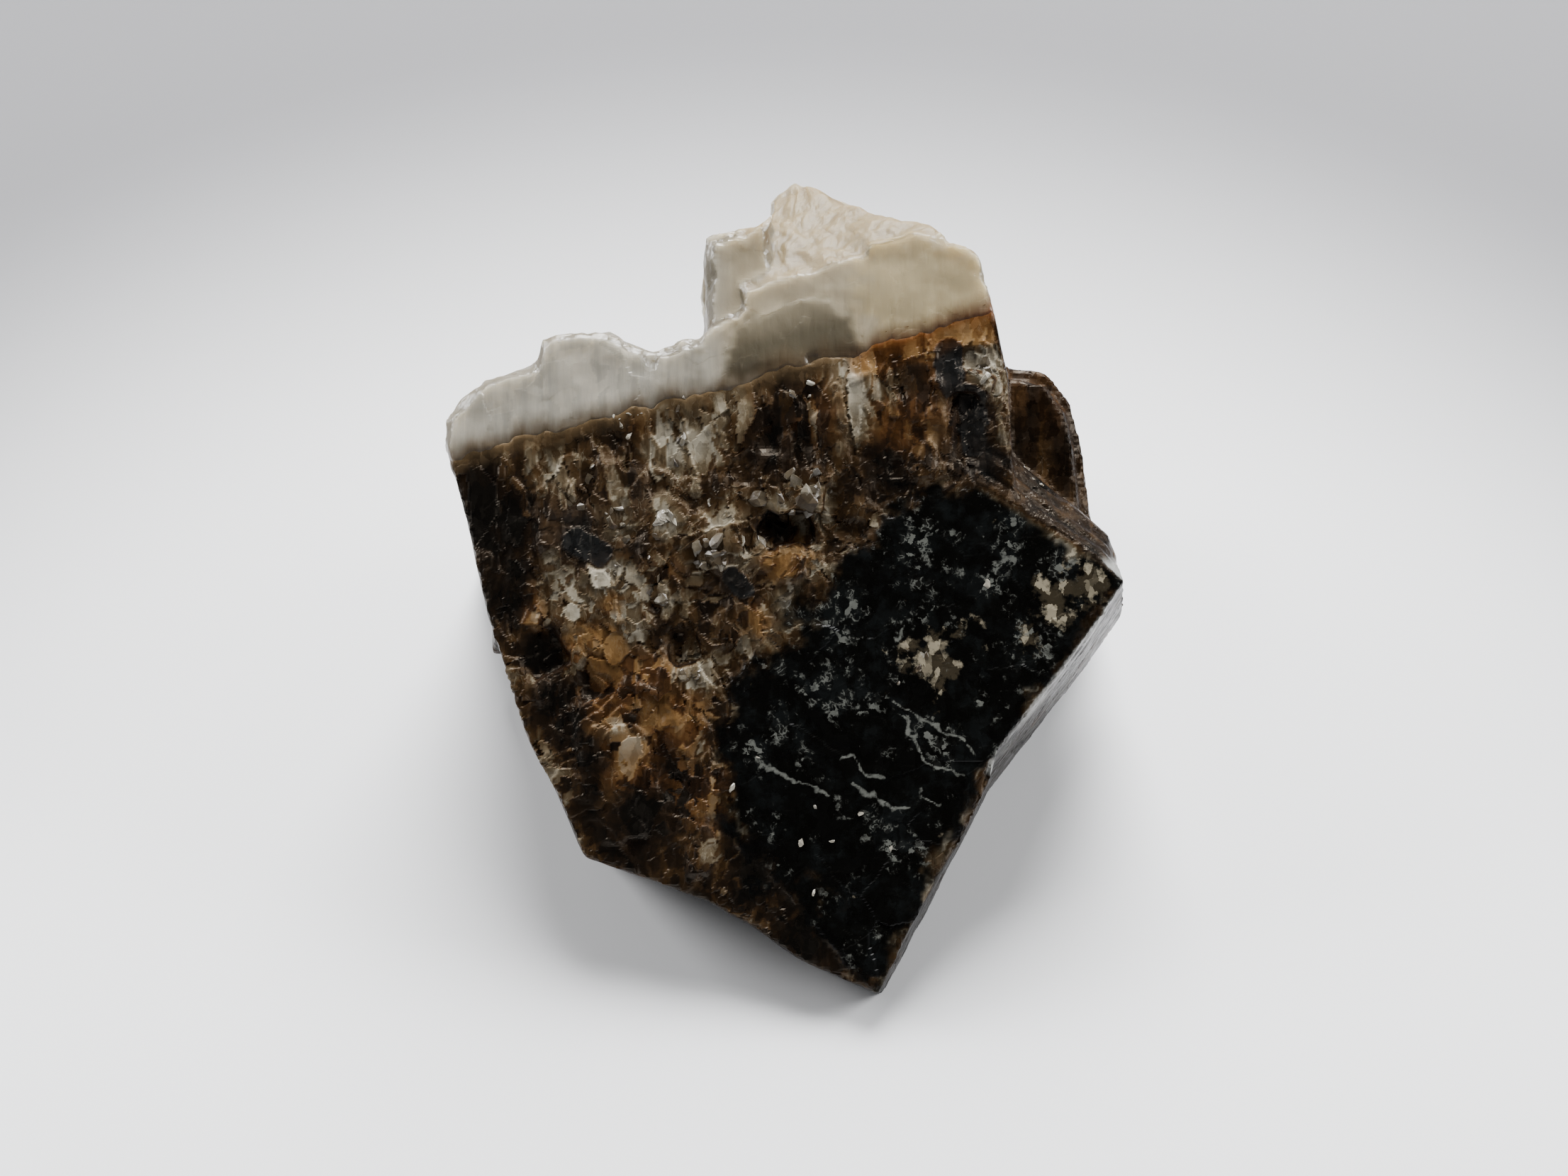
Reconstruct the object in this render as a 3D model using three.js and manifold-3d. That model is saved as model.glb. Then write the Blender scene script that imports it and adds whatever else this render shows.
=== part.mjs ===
// A tremolite specimen: one block of crystals grown together, lying on its flat back facet.
// Millimetres, +Z up, origin at the bottom centre of the block.
//
// The crystals are drawn in the frame of the front face: x to the right, y up along the
// crystals' growth, z out of the face. fromFace turns that frame onto the floor.
import * as THREE from 'three';
import { mergeVertices } from 'three/addons/utils/BufferGeometryUtils.js';
import Module from 'manifold-3d';

// ---- driving dimensions ----
const faceTilt = 38; // degrees from the floor up to the front face
const noseHeight = 3; // the tip of the front face stands this far above the floor
const tip = [7.7, -32.8]; // lowest corner of the front face
const backDepth = -62; // well below the floor everywhere
const rearSlope = 0.34; // the top of the block drops this much per millimetre of depth

// the block is made of layers of columns, each set in a little and a step lower than the one before
const layers = { starts: [0, -7, -13, -20, -26, -33, -39], overlap: 0.8, inset: 1.1, sideShift: [-0.2, 1.4],
  topShift: [-1.6, 0.9], shoulderDrops: [1, 0.7, 0.4], drift: [0, -0.5] };

// the brown block's outline below the rim, from the left shoulder down to the tip and up the right
const bodyLeft = [[-28.4, 13.2], [-26.6, 6.4], [-25, -1], [-21.6, -11.6], [-19.4, -15.6],
  [-17, -21.3], [-9.8, -23.8], [-6.2, -25.2], [-3.1, -27], [1.1, -29.9]];
const bodyRight = [[9.4, -29.1], [14.4, -20.3], [17, -15], [19.5, -4], [19, 10], [18.6, 18.9], [17.4, 24.3]];

// tops of the columns along the upper edge, from right to left
const rimTops = [[16.6, 27.4], [15.8, 28.4], [9, 27.6], [2, 26.2], [-2.9, 25], [-6.8, 23], [-7.2, 20.6],
  [-11.2, 19.6], [-11.6, 19.2], [-20.2, 20.2], [-20.8, 18], [-24.8, 17.2], [-27.2, 15.6]];

// the three rounded lobes of the milky rim
const lobes = [
  { outline: [[-28.7, 13.6], [-28.4, 15.4], [-27.3, 17.2], [-24.8, 18.9], [-22.2, 19.7], [-20.6, 20.2],
    [-20.3, 12.4], [-28, 10.8]], front: 0.2, back: -15 },
  { outline: [[-20.6, 20.4], [-20.4, 21.7], [-19.1, 22.4], [-15, 22.7], [-13.4, 21.9], [-11.5, 21.1],
    [-11.2, 14.8], [-20.4, 12.4]], front: 0.45, back: -19 },
  { outline: [[-11.4, 21], [-9.3, 22.1], [-7.1, 22.6], [-5.6, 21.4], [-5.6, 16], [-11.4, 14.8]],
    front: 0.25, back: -12 },
];

const lobeBevel = 0.7;
const lobeDrift = [0.4, -2.4];

// columns that end behind the lobes, seen from above and behind
const rimColumns = { from: -22, to: 17, spacing: [3.2, 6.6], width: [4.6, 9], length: 16, shoulder: [0, 2.4],
  apex: [0, 1], shift: [-1.4, 1.4], frontDepth: -9, rearDepth: -34, depthStep: [4.4, 8.4], thickness: [5, 12],
  drift: [-1, 1], fall: [-3.4, -1], leftHeight: 20, rightHeight: 26.5, heightChange: -7,
  heightShift: [-1.8, 1.4] };

// the white block at the upper right: two ledges, a left column, a tan block and one broken slope
// that runs back and up to the peak
const brokenSlope = {
  outline: [[-3.4, 22], [-3.2, 31.8], [-1.6, 33.4], [-1.3, 35.4], [0.5, 36.8], [4.7, 34.8], [8, 33],
    [13.4, 31.2], [14, 22]],
  start: [0, 27.2, -0.2], // where the slope leaves the ledges
  across: [-0.3, 1, 0.95], // its outward direction
  back: -17,
  drift: [0.4, -1],
};
const whiteLeftColumn = { outline: [[-6.9, 21], [-6.9, 29], [-6.6, 30.7], [-4.1, 31.3], [-1.4, 32.6],
  [-0.8, 21]], front: -0.9, back: -14, bevel: 0.8, drift: [0, -2] };
const greyBands = [
  { outline: [[-5, 19.6], [-4.2, 23.1], [-0.6, 24.4], [2.9, 25.4], [5.3, 23.8], [6.3, 21.4]],
    front: 0.5, back: -8 },
  { outline: [[-4.4, 20], [-2.9, 26.3], [2.1, 27.9], [6.6, 29.2], [7, 21]], front: -0.1, back: -9 },
];
const tanBlock = { outline: [[6.4, 20.6], [6.7, 30.4], [10.6, 31.1], [13.8, 30.3], [15.5, 29.7],
  [16.2, 28.3], [17.4, 24.5], [18.1, 21]], front: 0.6, back: -20, bevel: 0.5, drift: [-1, -6] };

// the black crystal: a diamond whose lower right side is one flat, slightly flaring face
const blackFront = [[3.2, 4], [-4.1, -5.9], [-6.2, -7.9], [-4.6, -19.8], [1.1, -25.4], [7.7, -32.8],
  [11.2, -25.5], [16.6, -13.7], [25.1, -2.9], [28.3, 1.8], [26.3, 4], [15.8, 10.9]];
const blackFlare = [1.4, -2.8]; // how far its lower right side moves outwards over blackDepth
const blackDepth = 17;
const blackRise = 0.3; // its face stands this far proud of the brown block
const blackCore = { scale: 0.96, shift: 1, back: -39 }; // the same crystal, narrower, on to the floor

// parallel ridges along its upper right edge
const ridges = { count: 4, drop: 0.7, step: [0.4, 0.68], cornerShare: 0.6, inner: [[0, 0], [6, 8]],
  depth: -12 };

// the smooth brown column set back at the right
const rearColumn = { outline: [[12, -12], [24.2, -6], [26.3, 3], [26.2, 6.4], [25.2, 13.6], [24.2, 17.2],
  [22.2, 19.6], [18.8, 20.2], [12, 20.2]], front: -5.4, back: -26, bevel: 1.2, drift: [-1.5, -3] };

// edges of the brown zone, as [height, x] pairs
const brownLeftEdge = [[-29, 1], [-25, -5.5], [-21.3, -15.8], [-11.6, -20.2], [-1, -24], [13, -27]];
const brownRightEdge = [[-29, 3], [-25.4, 1.4], [-19.8, -4.2], [-7.9, -6.4], [-5.9, -4.6], [4, 2.8],
  [10.9, 15.2], [24, 16.6]];
const brownTopEdge = [[-27, 12.5], [-19, 15.6], [-4.6, 19], [1, 21.4], [7.3, 21], [17.4, 23.6]]; // [x, height]

// small crystals of the brown zone
const crystals = { from: -26, to: 17, bottom: -28, spacing: [1.6, 2.2], width: [1.6, 2.6], length: [3, 8],
  gap: 0.04, rise: [0.1, 0.6], root: 2.5, topGap: [0, 1.5], leftMargin: 1, rightMargin: 0.6,
  lean: 0.2, tilt: 0.1, turn: 0.06 }; // the last three in radians

// plates and flakes: x, y, width, height, turn in radians
const plateRise = [0.4, 0.8];
const plateRoot = 1.6;
const plateLean = 0.18;
const plates = [
  [-10.2, 7, 3.4, 2.6, 0.3], [-4.6, 3.6, 3.6, 2.4, -0.5], [2, 10.6, 3.2, 2.8, 0.6], [0.8, 7.9, 4.6, 1.8, 0.1],
  [-7.4, 6.2, 2.2, 2.8, 0.9], [-12.4, -0.8, 2.2, 3.6, 0.2], [16, 18.2, 2.6, 2.2, -0.3],
  [-8.6, -10.6, 3.2, 2.8, 0.5], [-12.6, -8, 2.8, 2.4, -0.4],
];

// hollows left by missing crystals: x, y, width, height, depth, and lean, tilt and turn in radians
const hollows = [
  [0.3, 5.9, 4.2, 2.2, 1.1, 0.14, -0.42, 0.14], [-20.6, -4.3, 4, 3.8, 0.5, 0.12, 0.14, 0.5],
  [-8.6, -3.6, 2.6, 3.2, 0.6, -0.3, 0.2, 0.3], [14.9, 14.6, 2.4, 6, 0.5, 0.2, 0.05, 0.05],
];
const hollowRise = 2;

// chips broken off the lower edge: x, y on the floor, counted from the nose, and their size
const chips = [
  [-17, 3, 6], [-6, -1.5, 4.5], [14, 5, 5], [23, 17, 6.5], [-24, 24, 6.5], [-23.5, 41, 6], [24, 43, 7],
  [10, 59, 6], [-9, 54, 6], [3, -3.5, 3.5],
];
const chipHeight = 0.7; // of a chip's size
const chipSink = 0.2; // of a chip's size, below the floor
const chipTurn = 1.3; // radians from one chip to the next

const stoneColour = 0x4a3f31;
const stoneRoughness = 0.45;

// ---- helpers ----
const wasm = await Module();
wasm.setup();

function makeRandom(seed) {
  let state = seed;
  return (low, high) => {
    state = (state * 1664525 + 1013904223) % 4294967296;
    return low + (high - low) * state / 4294967296;
  };
}

const fromFace = new THREE.Matrix4().makeRotationX(THREE.MathUtils.degToRad(faceTilt));
const tipPoint = new THREE.Vector3(tip[0], tip[1], 0).applyMatrix4(fromFace);
fromFace.premultiply(new THREE.Matrix4().makeTranslation(0, 0, noseHeight - tipPoint.z));

function toSolid(geometry) {
  geometry.deleteAttribute('normal');
  geometry.deleteAttribute('uv');
  const merged = mergeVertices(geometry, 1e-4);
  return new wasm.Manifold(new wasm.Mesh({
    numProp: 3,
    vertProperties: new Float32Array(merged.attributes.position.array),
    triVerts: new Uint32Array(merged.index.array),
  }));
}

// x at a height, or the height at an x, on a line of [key, value] pairs
function lineAt(line, key) {
  const next = Math.max(1, line.findIndex(([k]) => k > key));
  const [k0, v0] = line[next - 1];
  const [k1, v1] = line[next];
  return v0 + (v1 - v0) * THREE.MathUtils.clamp((key - k0) / (k1 - k0), 0, 1);
}

// a flat outline carried back from the front to the back depth; drift moves its back end
function slabGeometry(outline, front, back, drift = [0, 0]) {
  const shape = new THREE.Shape(outline.map(([x, y]) => new THREE.Vector2(x, y)));
  const geometry = new THREE.ExtrudeGeometry(shape, { depth: front - back, bevelEnabled: false });
  geometry.translate(0, 0, back);
  const spot = geometry.attributes.position;
  for (let i = 0; i < spot.count; i += 1) {
    if (spot.getZ(i) < (front + back) / 2) {
      spot.setX(i, spot.getX(i) + drift[0]);
      spot.setY(i, spot.getY(i) + drift[1]);
    }
  }
  return geometry.applyMatrix4(fromFace);
}

const slab = (outline, front, back, drift) => toSolid(slabGeometry(outline, front, back, drift));

// all that lies behind a plane through a point, with the outward direction given
function behindPlane(point, across) {
  const size = 150;
  const geometry = new THREE.BoxGeometry(size, size, size);
  geometry.translate(0, 0, -size / 2);
  const outward = new THREE.Vector3(...across).normalize();
  geometry.applyQuaternion(new THREE.Quaternion().setFromUnitVectors(new THREE.Vector3(0, 0, 1), outward));
  geometry.translate(...point);
  return toSolid(geometry.applyMatrix4(fromFace));
}

// a slab whose front edge is bevelled all round
function bevelledSlab({ outline, front, back, bevel, drift }) {
  const middle = (k) => outline.reduce((sum, point) => sum + point[k], 0) / outline.length;
  const [middleX, middleY] = [middle(0), middle(1)];
  const inset = outline.map(([x, y]) => {
    const reach = Math.hypot(x - middleX, y - middleY);
    return [x - (x - middleX) / reach * bevel, y - (y - middleY) / reach * bevel];
  });
  return slab(inset, front, back, drift).add(slab(outline, front - bevel, back, drift));
}

// a small crystal with flat sides, standing on the face, leaning and turned a little
function smallCrystal({ x, y, width, length, rise, root, lean, tilt, turn }) {
  const geometry = new THREE.BoxGeometry(width, length, rise + root);
  geometry.translate(0, 0, (rise - root) / 2);
  geometry.rotateY(lean);
  geometry.rotateX(tilt);
  geometry.rotateZ(turn);
  geometry.translate(x, y, 0);
  return toSolid(geometry.applyMatrix4(fromFace));
}

// ---- the specimen's own forms ----

function makeBody() {
  const random = makeRandom(7);
  return layers.starts.map((front, i) => {
    const next = layers.starts[i + 1];
    const back = next === undefined ? backDepth : next - layers.overlap;
    const inset = i === 0 ? 0 : layers.inset;
    const drop = rearSlope * -front;
    const side = ([x, y], inwards) => [x + inwards * inset * random(...layers.sideShift), y];
    const left = bodyLeft.map((point, k) => {
      const [x, y] = side(point, 1);
      return [x, y - drop * (layers.shoulderDrops[k] ?? 0)];
    });
    const right = bodyRight.slice(0, -2).map((point) => side(point, -1));
    const shoulder = bodyRight.slice(-2).map((point) => {
      const [x, y] = side(point, -1);
      return [x, y - drop];
    });
    const tops = rimTops.map(([x, y]) => [x, y - drop + inset * random(...layers.topShift)]);
    return slab([...left, tip, ...right, ...shoulder, ...tops], front, back, layers.drift);
  });
}

function makeLobes() {
  return lobes.map(({ outline, front, back }) => bevelledSlab({ outline, front, back, bevel: lobeBevel,
    drift: lobeDrift }));
}

function makeRimColumns() {
  const random = makeRandom(23);
  const parts = [];
  const { from, to, spacing, frontDepth, rearDepth, depthStep } = rimColumns;
  for (let x = from; x < to; x += random(...spacing)) {
    for (let z = frontDepth; z > rearDepth; z -= random(...depthStep)) {
      const half = random(...rimColumns.width) / 2;
      const full = x < rimColumns.heightChange ? rimColumns.leftHeight : rimColumns.rightHeight;
      const height = full + rearSlope * z + random(...rimColumns.heightShift);
      const outline = [[x - half, height - rimColumns.length], [x + half, height - rimColumns.length],
        [x + half, height - random(...rimColumns.shoulder)],
        [x + random(...rimColumns.shift), height + random(...rimColumns.apex)],
        [x - half, height - random(...rimColumns.shoulder)]];
      const start = z + random(...rimColumns.shift);
      parts.push(slab(outline, start, z - random(...rimColumns.thickness),
        [random(...rimColumns.drift), random(...rimColumns.fall)]));
    }
  }
  return parts;
}

function makeWhiteBlock() {
  const { outline, start, across, back, drift } = brokenSlope;
  return [
    ...greyBands.map((band) => slab(band.outline, band.front, band.back)),
    bevelledSlab(whiteLeftColumn),
    bevelledSlab(tanBlock),
    slab(outline, 0, back, drift).intersect(behindPlane(start, across)),
  ];
}

function makeBlackCrystal() {
  const narrow = blackFront.map(([x, y]) => [x * blackCore.scale + blackCore.shift, y * blackCore.scale]);
  const parts = [
    slab(blackFront, blackRise, blackRise - blackDepth, blackFlare),
    slab(narrow, blackRise - blackDepth + 1, blackCore.back),
  ];
  const [right, corner, top] = blackFront.slice(-3);
  const [start, end] = ridges.inner;
  for (let i = 1; i <= ridges.count; i += 1) {
    const [outX, outY] = ridges.step.map((step) => step * i);
    const between = [corner[0] + outX * ridges.cornerShare, corner[1] + outY * ridges.cornerShare];
    const outline = [start, right, between, [top[0] + outX, top[1] + outY], end];
    parts.push(slab(outline, blackRise - ridges.drop * i, ridges.depth - i));
  }
  return parts;
}

function makeBrownCrystals() {
  const random = makeRandom(41);
  const parts = [];
  for (let x = crystals.from; x < crystals.to; x += random(...crystals.spacing)) {
    let y = lineAt(brownTopEdge, x) - random(...crystals.topGap);
    while (y > crystals.bottom) {
      const length = random(...crystals.length);
      const low = y - length;
      const leftLimit = Math.max(lineAt(brownLeftEdge, y), lineAt(brownLeftEdge, low)) + crystals.leftMargin;
      const rightLimit = Math.min(lineAt(brownRightEdge, y), lineAt(brownRightEdge, low)) - crystals.rightMargin;
      if (x > leftLimit && x < rightLimit) {
        parts.push(smallCrystal({
          x, y: y - length / 2, width: random(...crystals.width), length: length * (1 - crystals.gap),
          rise: random(...crystals.rise), root: crystals.root, lean: random(-crystals.lean, crystals.lean),
          tilt: random(-crystals.tilt, crystals.tilt), turn: random(-crystals.turn, crystals.turn),
        }));
      }
      y = low;
    }
  }
  return parts;
}

function makePlates() {
  const random = makeRandom(5);
  return plates.map(([x, y, width, length, turn]) => smallCrystal({
    x, y, width, length, turn, rise: random(...plateRise), root: plateRoot,
    lean: random(-plateLean, plateLean), tilt: random(-plateLean, plateLean),
  }));
}

function makeHollows() {
  return hollows.map(([x, y, width, length, root, lean, tilt, turn]) => smallCrystal({
    x, y, width, length, root, lean, tilt, turn, rise: hollowRise,
  }));
}

function makeChips() {
  return chips.map(([x, y, size], i) => {
    const geometry = new THREE.IcosahedronGeometry(size, 0);
    geometry.rotateZ(i * chipTurn);
    geometry.scale(1, 1, chipHeight);
    geometry.translate(x, tipPoint.y + y, -size * chipSink);
    return toSolid(geometry);
  });
}

// everything above the floor
function aboveFloor() {
  const size = 200;
  const geometry = new THREE.BoxGeometry(size, size, size);
  geometry.translate(0, 0, size / 2);
  return toSolid(geometry);
}

function makeSpecimen() {
  const grown = [...makeBody(), ...makeLobes(), ...makeRimColumns(), ...makeWhiteBlock(), ...makeBlackCrystal(),
    bevelledSlab(rearColumn), ...makeBrownCrystals(), ...makePlates()];
  const whole = wasm.Manifold.union(grown);
  const worn = [...makeHollows(), ...makeChips()].reduce((rest, hollow) => rest.subtract(hollow), whole);
  const mesh = worn.intersect(aboveFloor()).getMesh();
  const geometry = new THREE.BufferGeometry();
  geometry.setAttribute('position', new THREE.BufferAttribute(mesh.vertProperties, 3));
  geometry.setIndex(new THREE.BufferAttribute(mesh.triVerts, 1));
  geometry.computeBoundingBox();
  const { min, max } = geometry.boundingBox;
  geometry.translate(-(min.x + max.x) / 2, -(min.y + max.y) / 2, -min.z);
  return geometry;
}

const specimen = new THREE.Mesh(
  makeSpecimen(),
  new THREE.MeshStandardMaterial({ color: stoneColour, roughness: stoneRoughness, metalness: 0 }),
);
specimen.name = 'tremolite_specimen';

const part = new THREE.Group();
part.add(specimen);

export default part;
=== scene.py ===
import math
import random

import bpy
import numpy as np
from mathutils import Matrix, Vector


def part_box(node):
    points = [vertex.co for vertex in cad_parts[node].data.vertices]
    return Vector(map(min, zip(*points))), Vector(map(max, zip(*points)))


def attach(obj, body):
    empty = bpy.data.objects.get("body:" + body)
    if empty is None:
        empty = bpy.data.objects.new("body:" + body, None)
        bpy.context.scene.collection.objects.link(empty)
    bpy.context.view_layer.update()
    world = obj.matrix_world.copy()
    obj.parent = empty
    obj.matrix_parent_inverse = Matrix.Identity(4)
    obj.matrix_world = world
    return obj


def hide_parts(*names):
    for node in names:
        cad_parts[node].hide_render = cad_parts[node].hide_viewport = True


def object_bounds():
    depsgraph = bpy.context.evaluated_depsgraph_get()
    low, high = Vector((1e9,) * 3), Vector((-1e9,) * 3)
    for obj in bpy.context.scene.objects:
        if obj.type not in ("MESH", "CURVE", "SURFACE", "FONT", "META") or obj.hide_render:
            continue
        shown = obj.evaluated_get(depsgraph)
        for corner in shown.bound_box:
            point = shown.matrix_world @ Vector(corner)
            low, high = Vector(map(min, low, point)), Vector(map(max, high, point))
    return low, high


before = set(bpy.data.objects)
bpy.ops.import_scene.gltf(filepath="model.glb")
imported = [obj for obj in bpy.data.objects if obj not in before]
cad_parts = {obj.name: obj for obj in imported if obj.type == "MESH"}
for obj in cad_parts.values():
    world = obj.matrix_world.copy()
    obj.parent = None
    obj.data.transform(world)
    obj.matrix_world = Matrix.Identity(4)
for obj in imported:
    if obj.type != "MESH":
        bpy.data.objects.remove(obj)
cadLow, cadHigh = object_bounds()
print("frame loaded")

mm = 0.001

# The stone is described in the frame of its front face, in millimetres:
# x to the right, y up along the crystals, z out of the face.
stone = {
    "node": "tremolite_specimen",
    "faceTilt": math.radians(38),
    "faceHeight": 23.19,          # middle of the face above the floor
    "leftReach": 28.7,            # middle of the face to the left shoulder
    "noseReach": 26.03,           # middle of the face to the nose, along the floor
    "rimLine": (0.268, 19.65, 0.24),  # the rim starts at y = a x + b + c z
    "fingers": 0.4,               # the brown crystals reach this far up into the rim
    "pit": (-0.5, 6.3, 12 ** 0.5),  # x, y and radius of a hollow in the front
    "frontDepth": -9,             # the front is divided finer down to here
}
shaping = {
    "voxel": 0.36,
    "rimVoxelShare": 0.9,
    "cutOverlap": 1.2,            # block and rim pass each other by this much at the rim line
    "blockSoftening": 5,
    "rimSoftening": 8,
    "wander": 0.35,               # how far straight edges are pushed about
    "stepSink": 0.65,             # the low steps of the front lose this share of their height
    "blockDrop": 0.5,             # the block sinks this far where the rim covers it
    "rimDrop": 0.35,              # and the rim where the block shows
    "boxSpill": 0.6,              # relief may pass the box of the solid by this much
    "floorBand": 0.3,             # faces this near the floor stay flat
}

boxLow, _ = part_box(stone["node"])
faceTurn = Matrix.Rotation(stone["faceTilt"], 3, "X")
faceMiddle = Vector((boxLow[0] + stone["leftReach"] * mm, boxLow[1] + stone["noseReach"] * mm,
                     stone["faceHeight"] * mm))


def toFace(points):  # metres in the room -> millimetres on the face
    return (points - np.array(faceMiddle)) @ np.array(faceTurn) / mm


def fromFace(points):  # and back
    return np.array(faceMiddle) + (points * mm) @ np.array(faceTurn).T


def toRoom(x, y, z):  # the same for one point
    return faceMiddle + faceTurn @ (Vector((x, y, z)) * mm)


# steady patterns; the salt, a whole number, makes each one its own
def hashed(cells, salt):  # a random number from 0 to 1 for each whole-numbered cell
    n = (cells[:, 0] * 73856093) ^ (cells[:, 1] * 19349663) ^ (cells[:, 2] * 83492791) ^ (salt * 265443576)
    n = (n ^ (n >> 13)) & 0xFFFFFFFF
    n = (n * 1274126177) & 0xFFFFFFFF
    n = (n ^ (n >> 16)) & 0xFFFFFFFF
    n = (n * 2024237689) & 0xFFFFFFFF
    return ((n ^ (n >> 15)) & 0xFFFFFF) / 0xFFFFFF


def cloud(points, size, salt, octaves=3):  # soft noise, from about -1 to 1
    total = np.zeros(len(points))
    weight, reach = 1.0, 0.0
    for octave in range(octaves):
        q = points / size * 2 ** octave
        base = np.floor(q).astype(np.int64)
        t = q - base
        t = t * t * (3 - 2 * t)
        value = 0
        for corner in np.ndindex(2, 2, 2):
            share = np.prod(np.where(np.array(corner) == 1, t, 1 - t), axis=1)
            value = value + share * hashed(base + corner, salt + octave)
        total += weight * (value * 2 - 1)
        reach += weight
        weight *= 0.5
    return total / reach * 1.6


def bent(points, size, amount, salt):  # the same points, pushed about
    return points + np.stack([cloud(points, size, salt + k, 3) for k in range(3)], axis=1) * amount


def blocks(points, stretch, salt):  # broken crystals: level, slope and distance from the edge of each
    q = points / np.array(stretch)
    base = np.floor(q).astype(np.int64)
    near = np.full(len(q), 1e9)
    second = near.copy()
    owner = np.zeros_like(base)
    away = np.zeros_like(q)
    for step in np.ndindex(3, 3, 3):
        cell = base + step - 1
        seed = cell + np.stack([hashed(cell, salt + k) for k in range(3)], axis=1)
        gap = q - seed
        d = (gap ** 2).sum(axis=1)
        closer = d < near
        second = np.where(closer, near, np.minimum(second, d))
        near = np.where(closer, d, near)
        owner[closer] = cell[closer]
        away[closer] = gap[closer]
    level = hashed(owner, salt + 5) - 0.5
    lean = np.stack([hashed(owner, salt + 6 + k) for k in range(3)], axis=1) - 0.5
    return level, (lean * away).sum(axis=1), np.sqrt(second) - np.sqrt(near)


def smooth(value, low, high):
    t = np.clip((value - low) / (high - low), 0, 1)
    return t * t * (3 - 2 * t)


def terrace(values, steps):  # flat steps with short risers, and a mark along each edge, which the brown front uses as a painted highlight
    t = values * steps
    base = np.floor(t)
    rest = t - base
    return (base + smooth(rest, 0.75, 1.0)) / steps, smooth(rest, 0.6, 0.8) * smooth(-rest, -1.0, -0.88)


def hackly(q, layers):  # crossing flat facets; the highest one shows, with its own shade
    height = np.full(len(q), -1e9)
    second = height.copy()
    shade = np.zeros(len(q))
    for stretch, rise, salt in layers:
        level, slope, _ = blocks(q, stretch, salt)
        own = rise * level + slope
        higher = own > height
        second = np.where(higher, height, np.maximum(second, own))
        number = np.floor(level * 9999).astype(np.int64)[:, None] * (1, 3, 7)
        shade = np.where(higher, hashed(number, salt), shade)
        height = np.where(higher, own, height)
    return height, shade, height - second


# places on the face; p: one row of x, y and z for each point, n: the same for normals
def lineDistance(points, line):  # millimetres from a bent line on the face
    best = np.full(len(points), 1e9)
    px, py = points[:, 0], points[:, 1]
    for (ax, ay), (bx, by) in zip(line, line[1:]):
        square = (bx - ax) ** 2 + (by - ay) ** 2
        t = np.clip(((px - ax) * (bx - ax) + (py - ay) * (by - ay)) / square, 0, 1)
        best = np.minimum(best, np.hypot(px - ax - t * (bx - ax), py - ay - t * (by - ay)))
    return best


def depthInside(points, outline):  # millimetres inside a flat outline, negative outside
    inside = np.zeros(len(points), bool)
    px, py = points[:, 0], points[:, 1]
    for (ax, ay), (bx, by) in zip(outline, outline[1:] + outline[:1]):
        crosses = (ay > py) != (by > py)
        inside ^= crosses & (px < ax + (py - ay) / (by - ay + 1e-12) * (bx - ax))
    best = lineDistance(points, outline + outline[:1])
    return np.where(inside, best, -best)


def mound(p, x, y, radius):  # 1 at one place of the face, fading with distance
    return np.exp(-((p[:, 0] - x) ** 2 + (p[:, 1] - y) ** 2) / radius ** 2)


def aboveRim(p):  # millimetres above the line where the rim starts, negative below it
    a, b, c = stone["rimLine"]
    return (p[:, 1] - a * p[:, 0] - b - c * np.minimum(p[:, 2], 0)) / math.hypot(1, a, c)


def fingers(p):  # how far the brown crystals reach up into the rim
    return stone["fingers"] * cloud(p * (1, 0.15, 1), 1.6, 145, 3)


def nearFront(p):  # 1 on the front, 0 on what lies further back
    return smooth(p[:, 2], -7, -3)


def facingFront(n):  # 1 where a face looks the way the front does
    return smooth(n[:, 2], 0.35, 0.75)


def spot(p, places):  # places: x, y, radius, strength
    total = np.zeros(len(p))
    for x, y, radius, strength in places:
        total = np.maximum(total, strength * mound(p, x, y, radius))
    return total * nearFront(p)


# shaping
def readPoints(piece):
    points = np.empty(len(piece.data.vertices) * 3)
    piece.data.vertices.foreach_get("co", points)
    return points.reshape(-1, 3)


def writePoints(piece, points):
    piece.data.vertices.foreach_set("co", points.ravel())
    piece.data.update()


def readNormals(piece):
    normals = np.empty(len(piece.data.vertices) * 3)
    piece.data.vertex_normals.foreach_get("vector", normals)
    return normals.reshape(-1, 3)


def readMark(piece, name):
    values = np.empty(len(piece.data.vertices), np.float32)
    piece.data.attributes[name].data.foreach_get("value", values)
    return values


def selectOnly(piece):
    bpy.ops.object.select_all(action="DESELECT")
    piece.select_set(True)
    bpy.context.view_layer.objects.active = piece


def edit(operator, **settings):  # one operator in edit mode, on what is selected
    bpy.ops.object.mode_set(mode="EDIT")
    operator(**settings)
    bpy.ops.object.mode_set(mode="OBJECT")


def copyOfStone(name):
    piece = bpy.data.objects.new(name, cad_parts[stone["node"]].data.copy())
    bpy.context.collection.objects.link(piece)
    piece.data.materials.clear()
    selectOnly(piece)
    edit(bpy.ops.mesh.select_all, action="SELECT")
    edit(bpy.ops.mesh.remove_doubles, threshold=0.001 * mm)
    edit(bpy.ops.mesh.normals_make_consistent, inside=False)
    return piece


def cutAtRim(piece, shift, keepAbove):
    selectOnly(piece)
    a, b, c = stone["rimLine"]
    across = (faceTurn @ Vector((-a, 1, -c))).normalized()
    edit(bpy.ops.mesh.select_all, action="SELECT")
    edit(bpy.ops.mesh.bisect, plane_co=toRoom(0, b + shift, 0), plane_no=across, use_fill=True,
         clear_inner=keepAbove, clear_outer=not keepAbove)


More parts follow.
